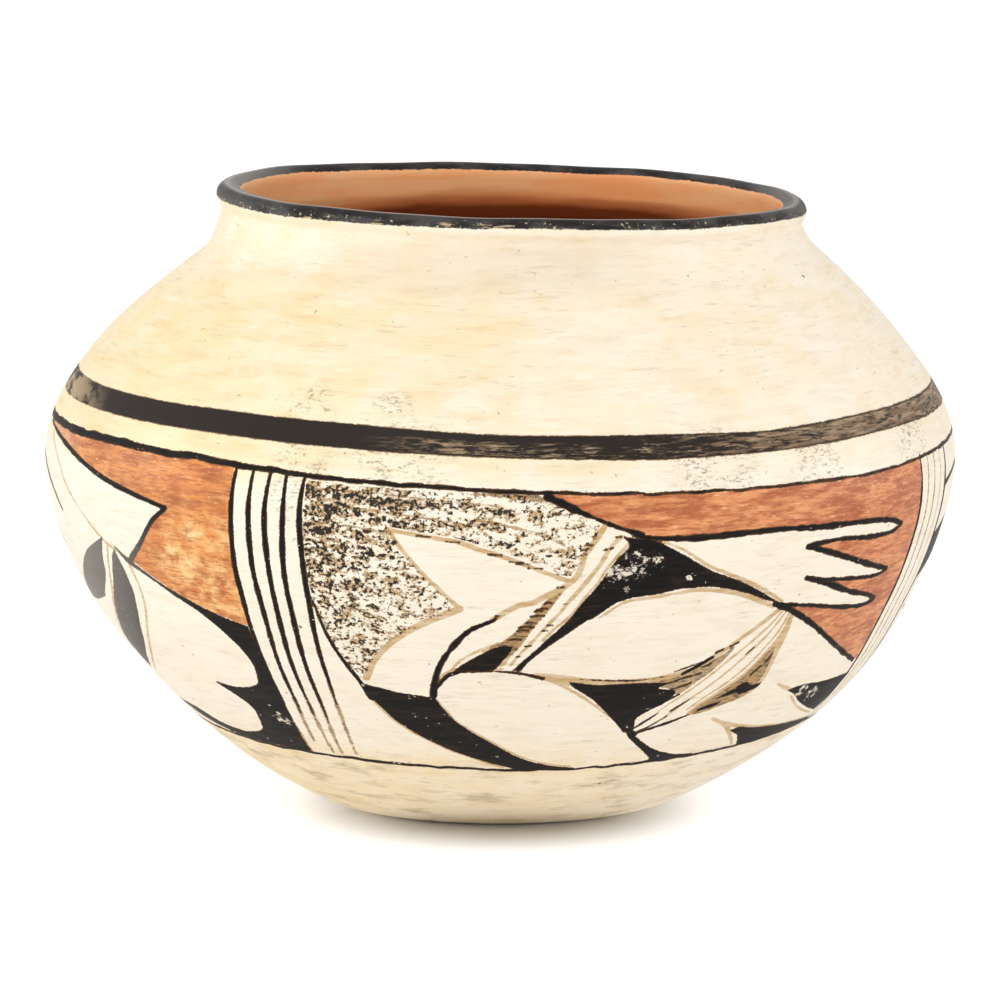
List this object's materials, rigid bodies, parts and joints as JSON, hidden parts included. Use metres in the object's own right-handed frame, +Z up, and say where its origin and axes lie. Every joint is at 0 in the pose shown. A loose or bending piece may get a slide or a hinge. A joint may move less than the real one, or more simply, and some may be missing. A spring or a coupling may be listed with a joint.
{
  "type": "clay pot",
  "caption": "Round-bodied clay pot built of a pressed base bowl, stacked clay coils, a short neck and a rounded lip, open at the top.",
  "frame": {"origin": "centre of the flat foot, on the surface that the pot stands on", "axes": "+Z up through the mouth, -Y towards the main painted panel, +X to the right seen from the front"},
  "size_m": [0.2298, 0.2298, 0.1556],
  "materials": {
    "cream_slip": "stone-polished cream slip, low satin sheen",
    "ochre_panels": "matt red-ochre and black mineral paint on the slip",
    "black_paint": "matt brown-black mineral paint, worn thin in streaks"
  },
  "bodies": {
    "root": {"base_bowl": "cream_slip", "wall_coil_01": "cream_slip", "wall_coil_02": "ochre_panels", "wall_coil_03": "ochre_panels", "wall_coil_04": "ochre_panels", "wall_coil_05": "ochre_panels", "wall_coil_06": "ochre_panels", "wall_coil_07": "ochre_panels", "wall_coil_08": "ochre_panels", "wall_coil_09": "black_paint", "wall_coil_10": "cream_slip", "wall_coil_11": "cream_slip", "neck_coil": "cream_slip", "rim_coil": "black_paint"}
  },
  "joints": []
}
